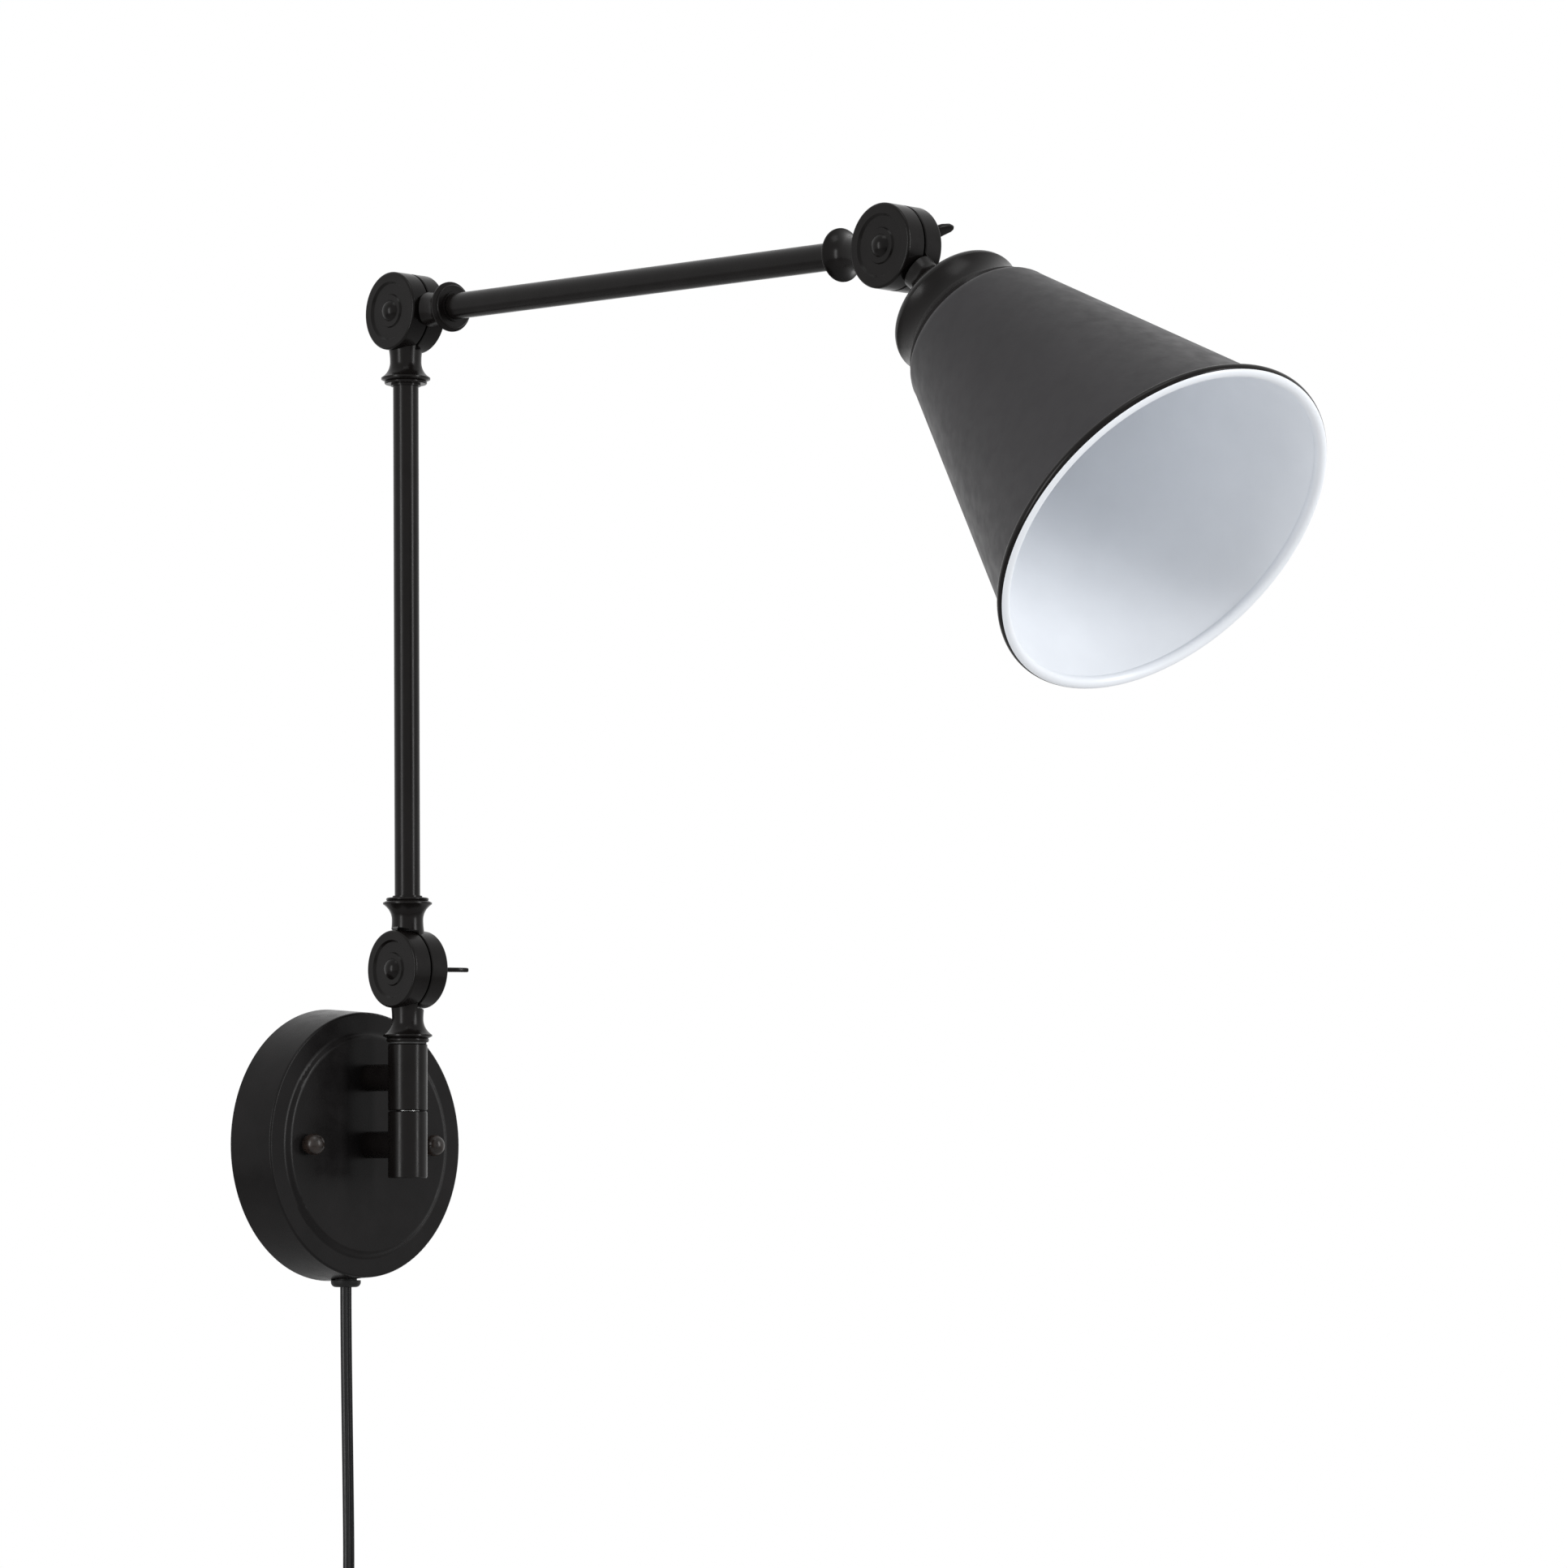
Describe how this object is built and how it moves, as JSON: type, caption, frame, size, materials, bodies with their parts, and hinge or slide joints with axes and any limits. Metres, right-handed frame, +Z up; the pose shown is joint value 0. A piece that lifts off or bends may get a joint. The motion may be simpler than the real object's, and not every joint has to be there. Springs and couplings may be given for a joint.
{
  "type": "articulating wall lamp",
  "caption": "Plug-in wall lamp with a swivelling two-section arm on round knuckles, a cone metal shade, an in-line switch and a tied cord.",
  "frame": {"origin": "centre of the canopy's back, on the wall", "axes": "+Y into the wall, +Z up, the lamp stands out along -Y"},
  "size_m": [0.1856, 0.5493, 0.8039],
  "materials": {
    "black_metal": "satin black",
    "shade_black": "satin black outside, white enamel inside",
    "zinc_steel": "zinc plated",
    "brass": "bright",
    "black_washer": "matte",
    "cord_black": "glossy soft black",
    "moulded_black": "satin moulded",
    "holder_white": "glazed white",
    "tie": "matte"
  },
  "bodies": {
    "wall_side": {"wall_crossbar": "zinc_steel", "ground_screw": "brass", "canopy_studs": "zinc_steel", "canopy": "black_metal", "cap_nuts": "black_metal", "upper_post": "black_metal", "lower_post": "black_metal", "post_washers": "zinc_steel", "post_nuts": "zinc_steel", "upper_collar": "black_metal", "lower_collar": "black_metal", "cord_bushing": "moulded_black", "power_cord": "cord_black", "switch_front": "moulded_black", "switch_back": "moulded_black", "switch_screws": "moulded_black", "cord_to_coil": "cord_black", "cord_coil": "cord_black", "cord_tie": "tie", "cord_to_plug": "cord_black", "plug_body": "moulded_black", "plug_blades": "brass"},
    "swivel": {"swivel_hub": "black_metal", "swivel_spindle": "zinc_steel", "swivel_washers": "black_washer", "spindle_nut": "zinc_steel", "base_knuckle_bolt": "black_metal", "base_knuckle_washer": "black_washer"},
    "base_wing": {"base_wing_nut": "black_metal"},
    "lower_arm": {"lower_arm_foot": "black_metal", "lower_arm_tube": "black_metal", "lower_arm_head": "black_metal", "elbow_knuckle_bolt": "black_metal", "elbow_knuckle_washer": "black_washer"},
    "elbow_wing": {"elbow_wing_nut": "black_metal"},
    "upper_arm": {"upper_arm_foot": "black_metal", "upper_arm_tube": "black_metal", "upper_arm_head": "black_metal", "head_knuckle_bolt": "black_metal", "head_knuckle_washer": "black_washer"},
    "head_wing": {"head_wing_nut": "black_metal"},
    "head": {"head_neck": "black_metal", "socket_cup": "black_metal", "socket_nipple": "zinc_steel", "socket_locknut": "zinc_steel", "lampholder": "holder_white", "screw_shell": "brass", "centre_contact": "brass", "shade_ring": "holder_white", "shade": "shade_black"},
    "rocker": {"switch_rocker": "moulded_black"}
  },
  "joints": [
    {"name": "base_swivel", "type": "hinge", "parent": "wall_side", "child": "swivel", "pos_m": [0, -0.0484, 0], "axis": [0, 0, 1], "range_deg": [-78.6, 91.4]},
    {"name": "base_knuckle", "type": "hinge", "parent": "swivel", "child": "lower_arm", "pos_m": [0, -0.0484, 0.0764], "axis": [0.9938, -0.1115, 0], "range_deg": [-5.5, 100]},
    {"name": "base_wing_turn", "type": "hinge", "parent": "swivel", "child": "base_wing", "pos_m": [0, -0.0484, 0.0764], "axis": [0.9938, -0.1115, 0], "range_deg": [0, 180]},
    {"name": "elbow_knuckle", "type": "hinge", "parent": "lower_arm", "child": "upper_arm", "pos_m": [0.00017, -0.04691, 0.363], "axis": [0.9938, -0.1115, 0], "range_deg": [-90, 40]},
    {"name": "elbow_wing_turn", "type": "hinge", "parent": "lower_arm", "child": "elbow_wing", "pos_m": [0.00017, -0.04691, 0.363], "axis": [0.9938, -0.1115, 0], "range_deg": [0, 180]},
    {"name": "head_knuckle", "type": "hinge", "parent": "upper_arm", "child": "head", "pos_m": [-0.03437, -0.35481, 0.35272], "axis": [-0.9938, 0.1115, 0], "range_deg": [-90, 130]},
    {"name": "head_wing_turn", "type": "hinge", "parent": "upper_arm", "child": "head_wing", "pos_m": [-0.03437, -0.35481, 0.35272], "axis": [0.9938, -0.1115, 0], "range_deg": [0, 180]},
    {"name": "switch_rocker_rock", "type": "hinge", "parent": "wall_side", "child": "rocker", "pos_m": [0, -0.0162, -0.214], "axis": [1, 0, 0], "range_deg": [-18, 0]}
  ]
}
